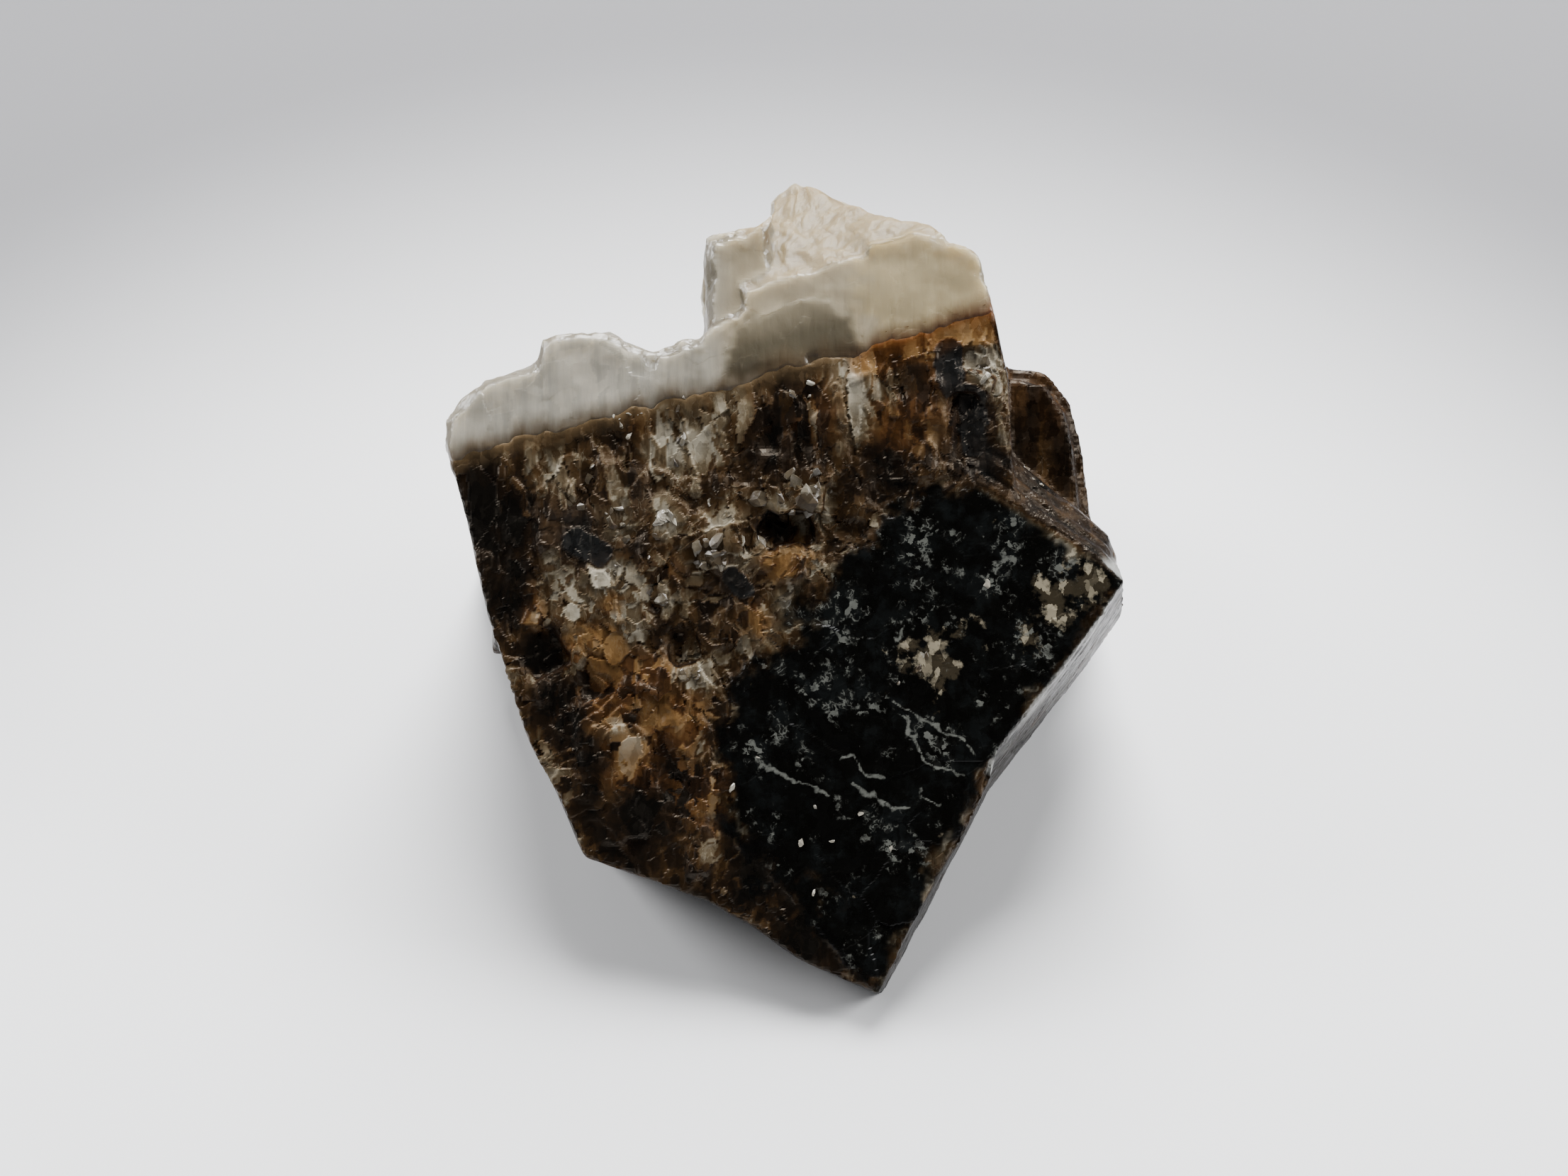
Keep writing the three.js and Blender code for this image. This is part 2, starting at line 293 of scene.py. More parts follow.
def remesh(piece, size):
    modifier = piece.modifiers.new("fine", "REMESH")
    modifier.mode = "VOXEL"
    modifier.voxel_size = size * mm
    bpy.ops.object.modifier_apply(modifier=modifier.name)


def soften(piece, times):
    modifier = piece.modifiers.new("soft", "SMOOTH")
    modifier.factor = 0.5
    modifier.iterations = times
    bpy.ops.object.modifier_apply(modifier=modifier.name)


def selectFaces(piece, chosen):  # chosen: one truth for each point; faces whose points are all chosen
    edit(bpy.ops.mesh.select_mode, type="FACE")
    edit(bpy.ops.mesh.select_all, action="DESELECT")
    mesh = piece.data
    corners = np.empty(len(mesh.loops), np.int64)
    mesh.loops.foreach_get("vertex_index", corners)
    starts = np.empty(len(mesh.polygons), np.int64)
    mesh.polygons.foreach_get("loop_start", starts)
    mesh.polygons.foreach_set("select", np.logical_and.reduceat(chosen[corners], starts))


def divideFront(piece):  # the front has the finest detail, so its faces are halved
    p = toFace(readPoints(piece))
    n = readNormals(piece) @ np.array(faceTurn)
    selectFaces(piece, (n[:, 2] > 0.4) & (p[:, 2] > stone["frontDepth"]))
    edit(bpy.ops.mesh.subdivide, number_cuts=1)


def loosen(piece, amount):  # the low steps of the front sink in and straight edges wander
    p = toFace(readPoints(piece))
    p[:, 2] -= shaping["stepSink"] * np.maximum(p[:, 2], 0) * smooth(aboveRim(p), -3, -0.8)
    free = smooth(aboveRim(p), 0.5, 3) * smooth(p[:, 2], -14, -8)
    free = np.maximum(free, 2.4 * mound(p, *stone["pit"]))
    p += (bent(p, 2.2, amount, 211) - p) * free[:, None] * (1, 1, 0)
    writePoints(piece, fromFace(p))


def roughen(piece, reliefOf):  # moves every point along its normal, but never through the floor
    points = readPoints(piece)
    normals = readNormals(piece)
    height, marks = reliefOf(toFace(points), normals @ np.array(faceTurn))
    onFloor = (normals[:, 2] < -0.9) & (points[:, 2] < shaping["floorBand"] * mm)
    height = np.where(onFloor, 0, height)
    moved = points + normals * height[:, None] * mm
    spill = shaping["boxSpill"] * mm
    moved = np.clip(moved, np.array(cadLow) - spill, np.array(cadHigh) + spill)
    moved[:, 2] = np.maximum(moved[:, 2], 0)
    for name, values in marks.items():
        layer = piece.data.attributes.new(name, "FLOAT", "POINT")
        layer.data.foreach_set("value", values.astype(np.float32))
    writePoints(piece, moved)


def split(piece, chosen, name):  # the chosen faces become a piece of their own
    selectOnly(piece)
    selectFaces(piece, chosen)
    edit(bpy.ops.mesh.separate, type="SELECTED")
    other = [part for part in bpy.context.selected_objects if part is not piece][0]
    other.name = name
    return other


# colours and materials
def linear(value):  # one part of a colour, 0 to 255 -> linear light
    part = value / 255
    return part / 12.92 if value <= 10 else ((part + 0.055) / 1.055) ** 2.4


def srgb(r, g, b):
    return (linear(r), linear(g), linear(b), 1)


class Tree:  # a few words for wiring a material
    def __init__(self, name):
        self.material = bpy.data.materials.new(name)
        self.material.use_nodes = True
        self.nodes = self.material.node_tree.nodes
        self.shader = self.nodes["Principled BSDF"]

    def add(self, kind, inputs=None, **settings):
        node = self.nodes.new(kind)
        for key, value in settings.items():
            setattr(node, key, value)
        for key, value in (inputs or {}).items():
            self.put(node.inputs[key], value)
        return node

    def put(self, socket, value):
        if isinstance(value, bpy.types.NodeSocket):
            self.material.node_tree.links.new(value, socket)
        else:
            socket.default_value = value

    def paint(self, inputs):
        for name, value in inputs.items():
            self.put(self.shader.inputs[name], value)

    def calc(self, operation, a, b=0.0, c=0.0):
        return self.add("ShaderNodeMath", {0: a, 1: b, 2: c}, operation=operation).outputs[0]

    def sway(self, base, wave, amount):  # a wave from 0 to 1 moves the base up and down
        return self.calc("MULTIPLY_ADD", wave, amount, self.calc("SUBTRACT", base, amount / 2))

    def vector(self, operation, *values):
        return self.add("ShaderNodeVectorMath", dict(enumerate(values)), operation=operation).outputs[0]

    def mix(self, share, a, b):
        return self.add("ShaderNodeMix", {0: share, 6: a, 7: b}, data_type="RGBA").outputs[2]

    def ramp(self, value, *stops, ease="LINEAR"):
        node = self.add("ShaderNodeValToRGB", {0: value})
        node.color_ramp.interpolation = ease
        elements = node.color_ramp.elements
        while len(elements) < len(stops):
            elements.new(0.5)
        for element, (place, colour) in zip(elements, stops):
            element.position = place
            element.color = colour if isinstance(colour, tuple) else (colour, colour, colour, 1)
        return node.outputs[0]

    def mapped(self, scale):  # face millimetres, stretched
        return self.add("ShaderNodeMapping", {"Vector": self.face, "Scale": scale}).outputs[0]

    def noise(self, vector, scale, detail, rough, output=0):
        node = self.add("ShaderNodeTexNoise", {"Vector": vector, "Scale": scale, "Detail": detail,
                                               "Roughness": rough})
        return node.outputs[output]

    def cells(self, vector, scale, feature="F1", output="Color"):
        node = self.add("ShaderNodeTexVoronoi", {"Vector": vector, "Scale": scale}, feature=feature)
        return node.outputs[output]

    def firstPart(self, colour):
        return self.add("ShaderNodeSeparateColor", {0: colour}).outputs[0]

    def mark(self, name):
        return self.add("ShaderNodeAttribute", attribute_name=name).outputs["Fac"]

    def normal(self):
        return self.add("ShaderNodeNewGeometry").outputs["Normal"]

    def setFace(self):  # self.face: the place on the face in millimetres
        where = self.add("ShaderNodeTexCoord").outputs["Object"]
        moved = self.vector("SUBTRACT", where, tuple(faceMiddle))
        turned = self.add("ShaderNodeMapping", {"Vector": moved, "Rotation": (-stone["faceTilt"], 0, 0)})
        self.face = self.add("ShaderNodeVectorMath", {0: turned.outputs[0], "Scale": 1 / mm},
                             operation="SCALE").outputs[0]


middleGrey = (0.5, 0.5, 0.5)
crystals = {  # what block, rim and flakes share
    "ior": 1.6,
    "clear": 0.25,             # share of the light that passes through the rim and the flakes
    "stretch": (1, 0.6, 1),    # the cells of the broken crystals are longer than wide
    "wander": (0.9, 1.3),      # scale and amount of their ragged outlines
    "big": 0.6,                # cells for each millimetre
    "small": 1.5,
    "lean": 0.28,              # how far each cell turns the light
    "grain": (1.2, 8, 0.68),   # noise: scale, detail, roughness
    "fine": (3, 6, 0.6),
}
rimFoot = {"haze": srgb(94, 77, 54), "rustHaze": srgb(92, 54, 22)}  # where rim and block meet


def facets(tree, cells, strength):  # every small crystal looks a slightly different way
    away = tree.vector("SUBTRACT", cells, middleGrey)
    return tree.vector("NORMALIZE", tree.vector("MULTIPLY_ADD", away, (strength,) * 3, tree.normal()))


def bumped(tree, height, strength, distance, under):
    return tree.add("ShaderNodeBump", {"Height": height, "Strength": strength, "Distance": distance * mm,
                                       "Normal": under}).outputs[0]


def jagged(tree, stretch, scale, amount):  # coordinates pushed about, so that cells get ragged outlines
    where = tree.mapped(stretch)
    push = tree.vector("SUBTRACT", tree.noise(where, scale, 4, 0.6, output=1), middleGrey)
    return tree.vector("MULTIPLY_ADD", push, (amount,) * 3, where)


def footColour(tree):  # redder on the right, under the cream crystal
    return tree.mix(tree.mark("glow"), rimFoot["haze"], rimFoot["rustHaze"])


brownFront = {
    "shine": {"level": 0.12, "tint": (1.0, 0.82, 0.62, 1), "roughness": 0.25},
    "relief": {"step": 0.4, "facet": 0.6, "column": 0.12, "sink": 0.05},  # millimetres
    "tone": 0.36,              # from 0, dark, to 1, pale
    "plain": [(0.08, srgb(5, 4, 3)), (0.26, srgb(25, 16, 8)), (0.42, srgb(54, 38, 20)),
              (0.6, srgb(86, 75, 57)), (0.88, srgb(148, 142, 126))],  # tone, colour
    "rusty": [(0.05, srgb(25, 16, 8)), (0.22, srgb(36, 21, 9)), (0.42, srgb(74, 47, 22)),
              (0.7, srgb(114, 84, 45))],
    "cool": srgb(29, 31, 32),
    "coolShare": 0.62,
    "glint": srgb(150, 142, 122),
    "glintPatches": (0.7, 3, 0.6),  # noise: scale, detail, roughness
    "wide": [((2.4, 3.4, 2.4), 0.3, 31), ((1.5, 2.2, 1.5), 0.25, 47),
             ((1.1, 1.3, 1.1), 0.2, 53)],  # facets: size of the crystals, rise, salt
    "tall": [((1.9, 6, 1.9), 0.3, 67), ((1.2, 3, 1.2), 0.25, 71)],
    "rustSpots": [  # x, y, radius, strength
        (-12.5, 14, 3, 0.35), (-18, 12, 2.5, 0.3), (3.5, 15.8, 3.6, 0.5), (10.5, 14.6, 3.6, 1),
        (12.8, 18.5, 2.6, 0.6), (-0.6, 3, 2.2, 1), (1, 4.6, 1.8, 0.9), (-2.4, -1.2, 1.6, 0.9),
        (-14.6, -0.2, 1.3, 1.1), (-21, -1.1, 2.2, 0.7), (-15.3, -3.8, 2.8, 0.9), (-12.2, -6.2, 3, 1),
        (-14.4, -8.3, 2.6, 0.9), (-10, -10, 3.4, 1.1), (-12.4, -12.6, 2.6, 0.9), (-6.5, -16.8, 3, 0.7),
        (-10, 3, 2, 0.4), (7.2, 20.4, 2.4, 1), (12.2, 22, 2.2, 1.1), (16.4, 22.6, 2, 1.1),
        (8, 16, 3, 0.6),
    ],
    "greySpots": [
        (8, 16.4, 3.4, 0.4), (10.4, 14.6, 2.4, 0.5), (-5.6, 4.6, 3, 1.1), (-10.1, 7, 1.7, 1.2),
        (-6.5, 4.5, 2.8, 0.9), (1.4, 9.4, 2.8, 0.8), (-14.4, 6.3, 2, 0.8), (-8, 13.6, 3, 0.5),
        (-14.4, 2.7, 1.6, 0.9), (-10.1, 0.7, 1.2, 1), (-21, 11.8, 2.4, 0.5), (-7.8, -5.6, 1.8, 0.9),
        (-18, 12.6, 2.4, 0.5), (16.2, 19.2, 1.5, 0.8), (0, 8.1, 1.6, 0.8), (-8, -12, 3, 0.3),
        (20, 9.5, 2.2, 0.8), (23.5, 6.6, 2.2, 0.9), (17, 11.5, 2, 0.6),
    ],
    "darkSpots": [
        (-20, -9, 4, 0.9), (-16.4, -13, 3, 1.2), (-16.4, -15.6, 3.8, 0.9), (-12, -20.4, 3.6, 0.8),
        (-7.6, -24, 3, 0.6), (-26, 7, 4.6, 1.1), (-25, 0.6, 4, 0.9), (-22.8, 6.5, 3, 1.2),
        (-23, 1.5, 2.8, 1), (-18.5, -10.8, 3.6, 1), (-20.5, -4.3, 2.3, 1.4), (-1, 14, 3.2, 0.8),
        (7.4, 11.2, 3, 0.8), (4, 15, 2.4, 0.4), (17.9, 15, 1.8, 0.6), (-5.4, 10.4, 1.6, 0.6),
        (-17, 5.2, 2.6, 0.7), (-5, 14.6, 2.6, 0.4), (-0.7, 6.1, 1.2, 1.3), (-16, -17, 4, 0.6),
        (-3, -23, 4, 0.8), (2, -29, 5, 0.9), (-9, -2.6, 1.8, 0.6), (-13, -17.5, 3.6, 0.9),
        (-6.6, 9.6, 1.4, 0.6), (3, 12.4, 1.6, 0.6), (-12.5, 4.6, 1.2, 0.7),
    ],
    "coolSpots": [
        (-17.4, 5.4, 3, 1), (14.9, 16, 2.2, 1.2), (15.6, 12.4, 2.2, 1), (-4.6, 2.4, 1.6, 0.8),
        (-12, 9, 2, 0.5),
    ],
    "columns": [  # single crystals: line, half width, paleness from -1 to 1, coolness
        ([(-18.9, 10.8), (-18.5, 8.2)], 0.35, 0.5, 0), ([(-17.9, 10.2), (-17.7, 8.9)], 0.3, 0.7, 0),
        ([(-8.8, 14.8), (-8.3, 12.2), (-7.4, 9.2)], 0.45, 0.6, 0),
        ([(-11.2, 13.6), (-10.6, 11.6)], 0.3, 0.35, 0), ([(-21.4, 12.9), (-20.4, 9.2)], 0.5, 0.3, 0),
        ([(-15.2, 13), (-14.9, 10.4)], 0.35, 0.3, 0), ([(-5.4, 15.5), (-5, 13)], 0.3, 0.4, 0),
        ([(6.3, 21), (6.6, 18)], 0.4, 0.55, 0), ([(8.8, 19.2), (8.9, 16)], 0.3, 0.45, 0),
        ([(4.3, 18), (4.8, 15.2)], 0.4, 0.25, 0), ([(13.4, 21.2), (13.9, 18.2)], 1.2, -0.6, 1),
        ([(15.4, 17), (15.6, 13.2)], 1.3, -0.5, 1), ([(17.8, 17), (18, 12)], 0.3, 0.4, 0),
        ([(0.4, 9.6), (1.8, 8.4), (3.2, 9)], 0.6, 0.35, 0), ([(-3.6, 2.2), (-2, 4.6)], 0.5, 0.3, 0),
        ([(-10.3, 1.4), (-10, -1.2)], 0.35, 0.6, 0), ([(-8.2, -4.4), (-7.2, -6.6)], 0.35, 0.5, 0),
        ([(-9, 1.6), (-8.6, -1)], 0.4, 0.3, 0), ([(-17.6, 5.2), (-15.6, 4)], 1.2, -0.5, 1),
        ([(-4.6, 2.2), (-3.4, 1)], 0.9, -0.5, 1), ([(15.6, 20), (17, 19.2), (17.4, 18)], 0.7, 0.9, 0),
        ([(-7.8, 4.4), (-3.6, 5.6)], 1.2, 0.12, 0), ([(-7.8, 2.5), (-4.2, 3.1)], 0.12, 1, 0),
        ([(-22.6, 10.2), (-21.6, 7.4)], 0.3, 0.2, 0),
    ],
}


def brownRelief(p):
    q = bent(p, 1.7, 0.3, 11)
    long = smooth(aboveRim(p), -13, -4)  # long crystals just under the rim
    wide, broad, gap = hackly(q, brownFront["wide"])
    tall, narrow, cleft = hackly(bent(p, 2, 0.2, 61), brownFront["tall"])
    facet = wide + (tall - wide) * long
    shade = broad + (narrow - broad) * long
    edge = gap + (cleft - gap) * long
    # rim: the edge of each step, lightened below as a painted highlight
    step, rim = terrace(cloud(q * (1, 0.6, 1), 4.5, 77, 3), 2.2)
    grey = spot(p, brownFront["greySpots"])
    under = smooth(aboveRim(p), -5, -1.5) * smooth(-p[:, 0], -5, -2)  # darker just under the rim
    dark = np.maximum(spot(p, brownFront["darkSpots"]), 0.32 * under)
    area = cloud(p * (1, 0.7, 1), 5, 73, 2)
    pale = smooth(shade + 0.35 * grey - 0.45 * dark + 0.25 * area, 0.76, 0.8)  # pale broken crystals
    stained = spot(p, brownFront["rustSpots"])
    rusty = smooth(stained + 0.25 * cloud(p, 3, 83, 4), 0.2, 0.7)
    clear = shade + 0.3 * cloud(p, 2.5, 79) + 0.3 * grey - 1.8 * dark - 0.25 * rusty
    outline = smooth(-edge, -0.07, -0.01) * smooth(clear, 0.3, 0.7)  # painted highlight: pale lines round clear crystals, as if their edges caught the light
    low = smooth(-p[:, 1], 12, 18)  # the smoother foot of the brown face
    outline *= 1 - 0.85 * low
    tone = brownFront["tone"] + 0.17 * area * (1 - 0.8 * np.minimum(dark, 1))
    tone = tone + 0.08 * step + 0.22 * shade - 0.38 * dark + 0.16 * grey
    # outline and rim add painted highlights along crystal and step edges
    tone += 0.12 * pale + 0.08 * rim + 0.12 * outline + 0.22 * (shade - 0.55) * rusty - 0.04 * low
    relief = brownFront["relief"]
    height = (relief["step"] * step + relief["facet"] * facet) * (1 - 0.5 * low) - relief["sink"]
    cool = spot(p, brownFront["coolSpots"]) * 0.6 + 0.1
    for line, halfWidth, paleness, coolness in brownFront["columns"]:
        away = lineDistance(bent(p, 1.3, 0.35, 85), line) - halfWidth
        own = smooth(-away, -0.08, 0.12) * nearFront(p)
        tone += own * (0.38 * paleness + 0.18 * smooth(away, -0.22, 0) - (tone - 0.3) * 0.7)
        height += own * relief["column"]
        cool = np.maximum(cool, own * coolness)
        pale = np.maximum(pale, own * (paleness > 0.3))
    band = smooth(aboveRim(p), -2.6, -1.2) * smooth(p[:, 0], 4.5, 8)  # rust just under the rim on the right
    rust = stained + 0.3 * cloud(p, 3, 83, 4) + 0.25 * (shade - 0.5) - 0.25 * pale + band
    tone += 0.07 * smooth(rust, 0.2, 0.8) - 0.11 * band
    height *= (1 - 0.5 * smooth(dark, 0.5, 1)) * (1 - 0.85 * smooth(aboveRim(p), -2.6, -0.4))
    return height, {"tone": tone, "rust": 0.85 * smooth(rust, 0.2, 0.8), "cool": cool * (1 - band)}


def brownColour(tree, where, big, small, grain):
    tone = tree.sway(tree.sway(tree.sway(tree.mark("tone"), big, 0.12), small, 0.08), grain, 0.26)
    colour = tree.mix(tree.mark("rust"), tree.ramp(tone, *brownFront["plain"]),
                      tree.ramp(tone, *brownFront["rusty"]))
    edge = tree.cells(where, 1.1, "DISTANCE_TO_EDGE", "Distance")
    patches = tree.ramp(tree.noise(tree.face, *brownFront["glintPatches"]), (0.5, 0.0), (0.6, 0.35))
    gate = tree.calc("MULTIPLY", patches, tree.ramp(tone, (0.3, 0.0), (0.42, 1.0)))
    gate = tree.calc("MULTIPLY", gate, tree.calc("MULTIPLY_ADD", tree.mark("rust"), -0.7, 1.0))
    glint = tree.calc("MULTIPLY", tree.ramp(edge, (0.0, 1.0), (0.035, 0.0)), gate)
    colour = tree.mix(glint, colour, brownFront["glint"])
    nearRim = tree.ramp(tree.mark("above"), (0.0, 0.0), (0.6, 0.3), (1.0, 0.8), ease="EASE")
    colour = tree.mix(nearRim, colour, footColour(tree))
    colour = tree.mix(tree.calc("MULTIPLY", tree.mark("cool"), brownFront["coolShare"]), colour,
                      brownFront["cool"])
    # the pale right edge gets a painted reflection of the bright backdrop
    return tree.mix(tree.mark("paintedReflection"), colour, darkSides["paintedReflection"])


blackCrystal = {
    "shine": {"level": 0.055, "tint": (1.0, 1.0, 1.0, 1), "roughness": 0.17},
    "relief": {"plate": 0.06, "slope": 0.1, "chip": 0.05, "wave": 0.04, "edgeRib": 0.16},
    "outline": [(3.2, 4), (-4.1, -5.9), (-6.2, -7.9), (-4.6, -19.8), (1.1, -25.4), (7.7, -34),
                (12.2, -26), (17.6, -14), (26.5, -3), (30, 1.8), (26.3, 4.3), (15.8, 10.9)],
    "depth": 15,                     # it goes this far back
    "edgeAcross": (0.532, 0.847),    # direction square to its slanting edge
    "edgeStart": 17.6,
    "edgeTone": 0.25,
    "darkest": srgb(5, 4, 3),
    "black": srgb(6, 6, 5),
    "slate": srgb(15, 17, 17),
    "thread": srgb(108, 110, 104),
    "beige": srgb(54, 48, 37),
    "beigePale": srgb(150, 141, 120),
    "stretch": (1, 1, 0.35),         # its patterns run deeper than wide
    "dust": (0.35, 6, 0.68),         # noise: scale, detail, roughness
    "feathers": (0.3, 5, 0.7),
    "chop": (1.0, 3, 0.6),
    "threads": [(0.75, 2, 0.026, 3.0), (1.5, 1, 0.04, 17.0)],  # scale, detail, width, salt
    "threadWander": (0.9, 0.8),      # scale and amount
    "shardWander": (1.6, 0.9),
    "shards": 2.1,                   # cells for each millimetre
    "beigeSpots": [  # x, y, radius, strength
        (12.4, -5, 2.7, 1), (10.6, -3.6, 1.6, 0.7), (15, -2.4, 1.8, 0.7), (22.8, 0.4, 3, 0.9),
        (20.5, -2.8, 1.8, 0.6), (25.4, 2.6, 2.2, 0.9), (16.6, 1.4, 1.2, 0.5),
    ],
    "featherSpots": [
        (10.7, 5.3, 2.2, 1), (5, -0.3, 2.4, 1), (16.7, 1.5, 1.4, 1.2), (18.6, 4.9, 2, 0.9),
        (3.5, -6.9, 2.2, 1.1), (-0.9, -5.4, 1.5, 0.9), (-0.3, -9.5, 1.8, 0.7), (21, -4.1, 1.6, 0.9),
        (19.9, -2.4, 1.3, 0.9), (12.2, -10.8, 1.8, 0.7), (13.8, -13.4, 1.6, 0.8), (-2.6, -12.8, 1.4, 1),
        (8.6, -19.4, 2, 0.8), (23, 3.4, 1.8, 0.8), (12, 3, 4, 0.5),
    ],
    "veins": [
        [(9.1, -8.2), (10.7, -9.2), (12.7, -10.3), (14.3, -11.2), (15.5, -12.8)],
        [(9.6, -9.5), (10.7, -11.8), (11.9, -13.6), (13.2, -14.3), (15, -14.6)],
        [(-2.7, -12.8), (-1.4, -14.1), (0.1, -14.9), (1.7, -15.5), (3.5, -16.4)],
        [(4.8, -12.6), (6.6, -13.9), (8.1, -14.9)],
        [(5.3, -15.2), (7.6, -16.2), (9.1, -17.2), (10.1, -17.2)], [(10.9, -15.7), (13, -17)],
        [(9.1, -3.2), (9.7, -2)],
    ],
}


def blackRelief(p):
    level, slope, _ = blocks(bent(p, 4, 0.5, 5), (6, 5, 6), 91)
    _, slope2, _ = blocks(p, (1.5, 1.2, 1.5), 93)
    line = np.full(len(p), 1e9)
    for vein in blackCrystal["veins"]:
        line = np.minimum(line, lineDistance(bent(p, 1.1, 0.5, 109), vein))
    relief = blackCrystal["relief"]
    height = relief["plate"] * level + relief["slope"] * slope + relief["chip"] * slope2
    height += relief["wave"] * cloud(p, 1.8, 97)
    marks = {"vein": 1 - np.minimum(line, 1), "feather": spot(p, blackCrystal["featherSpots"]),
             "beige": spot(p, blackCrystal["beigeSpots"]) + 0.45 * cloud(p, 1.4, 111, 4)}
    return height, marks


def edgeRelief(p):  # the slanting edge of the black crystal, ribbed along its length
    ax, ay = blackCrystal["edgeAcross"]
    along = p[:, 0] * ay - p[:, 1] * ax
    across = p[:, 0] * ax + p[:, 1] * ay
    q = np.stack([along * 0.16, across, p[:, 2]], axis=1)
    rib = cloud(q, 0.9, 191, 3)
    outside = across - blackCrystal["edgeStart"]
    where = smooth(outside, -1.3, -0.4) * smooth(-outside, -3.4, -2.2)
    where = where * smooth(p[:, 0], 14.5, 17) * smooth(p[:, 2], -4.4, -3)
    tone = blackCrystal["edgeTone"] + 0.14 * rib + 0.1 * cloud(p, 1.6, 193)
    return blackCrystal["relief"]["edgeRib"] * rib, tone, where


def thread(tree, scale, detail, width, salt):  # thin wandering lines
    where = jagged(tree, blackCrystal["stretch"], *blackCrystal["threadWander"])
    where = tree.vector("ADD", where, (salt, salt, salt))
    away = tree.calc("ABSOLUTE", tree.calc("SUBTRACT", tree.noise(where, scale, detail, 0.6), 0.5))
    return tree.ramp(away, (0.0, 1.0), (width, 0.0))


def blackColour(tree, small, grain):
    feather = tree.mark("feather")
    flat = tree.mapped(blackCrystal["stretch"])
    dust = tree.calc("MULTIPLY_ADD", feather, 0.12, tree.noise(flat, *blackCrystal["dust"]))
    dust = tree.ramp(dust, (0.5, 0.0), (0.62, 1.0))
    black = tree.mix(dust, blackCrystal["black"], blackCrystal["slate"])
    black = tree.mix(tree.ramp(small, (0.0, 0.5), (1.0, 0.0)), black, blackCrystal["darkest"])
    onBeige = tree.ramp(tree.sway(tree.mark("beige"), grain, 1.6), (0.55, 0.0), (0.8, 0.85))
    flake = tree.ramp(small, (0.5, 0.0), (0.8, 1.0))
    flake = tree.mix(flake, blackCrystal["beige"], blackCrystal["beigePale"])
    black = tree.mix(onBeige, black, flake)
    gate = tree.calc("MULTIPLY_ADD", feather, 0.2, tree.noise(flat, *blackCrystal["feathers"]))
    gate = tree.ramp(gate, (0.56, 0.0), (0.64, 0.9))
    chop = tree.ramp(tree.noise(flat, *blackCrystal["chop"]), (0.5, 0.0), (0.58, 0.9))
    wisps = tree.calc("MAXIMUM", *(thread(tree, *kind) for kind in blackCrystal["threads"]))
    wisps = tree.calc("MULTIPLY", tree.calc("MULTIPLY", wisps, gate), chop)
    haze = tree.calc("MULTIPLY", tree.calc("MULTIPLY", gate, chop), 0.05)
    broken = jagged(tree, blackCrystal["stretch"], *blackCrystal["shardWander"])
    shard = tree.firstPart(tree.cells(broken, blackCrystal["shards"]))
    speck = tree.calc("MULTIPLY", tree.ramp(shard, (0.91, 0.0), (0.92, 0.75)), gate)
    line = tree.ramp(tree.sway(tree.mark("vein"), grain, 0.5), (0.84, 0.0), (0.96, 0.8))
    pale = tree.calc("MAXIMUM", tree.calc("MAXIMUM", wisps, haze), tree.calc("MAXIMUM", speck, line))
    return tree.mix(pale, black, blackCrystal["thread"])


darkSides = {
    "shine": {"level": 0.12, "tint": (1.0, 0.9, 0.8, 1), "roughness": 0.28},
    "relief": {"wide": 0.1, "narrow": 0.06, "wave": 0.05},
    "tone": 0.17,
    "rearTone": 0.25,              # of the column that stands behind on the right
    "paintedReflection": srgb(150, 151, 147),  # painted reflection: the right edge of the black crystal made pale as if it mirrored the bright backdrop
}


def sideRelief(p, n):
    level, _, _ = blocks(p, (2.4, 15, 2.4), 121)
    level2, _, _ = blocks(p, (0.9, 9, 0.9), 127)
    relief = darkSides["relief"]
    height = relief["wide"] * level + relief["narrow"] * level2 + relief["wave"] * cloud(p, 2.6, 131)
    tone = darkSides["tone"] + 0.12 * level + 0.1 * level2 + 0.12 * cloud(p, 2.5, 137)
    ragged = p[:, 1] + 0.9 * cloud(p, 1.4, 143, 4)
    paintedReflection = smooth(n[:, 0], 0.3, 0.6) * smooth(ragged, -14.6, -13.6)  # painted reflection on the pale right edge
    paintedReflection = paintedReflection * smooth(-p[:, 1], -4, -3) * smooth(p[:, 0], 13, 15)
    streak = cloud(np.stack([p[:, 1] * 0.2, p[:, 2] * 1.4, p[:, 0] * 0.2], axis=1), 1, 139, 4)
    paintedReflection = paintedReflection * (0.3 + 0.6 * smooth(streak, -0.9, -0.1))
    return height, tone, paintedReflection * smooth(p[:, 2] + 1.5 * cloud(p, 3, 147), -6, -1.5)


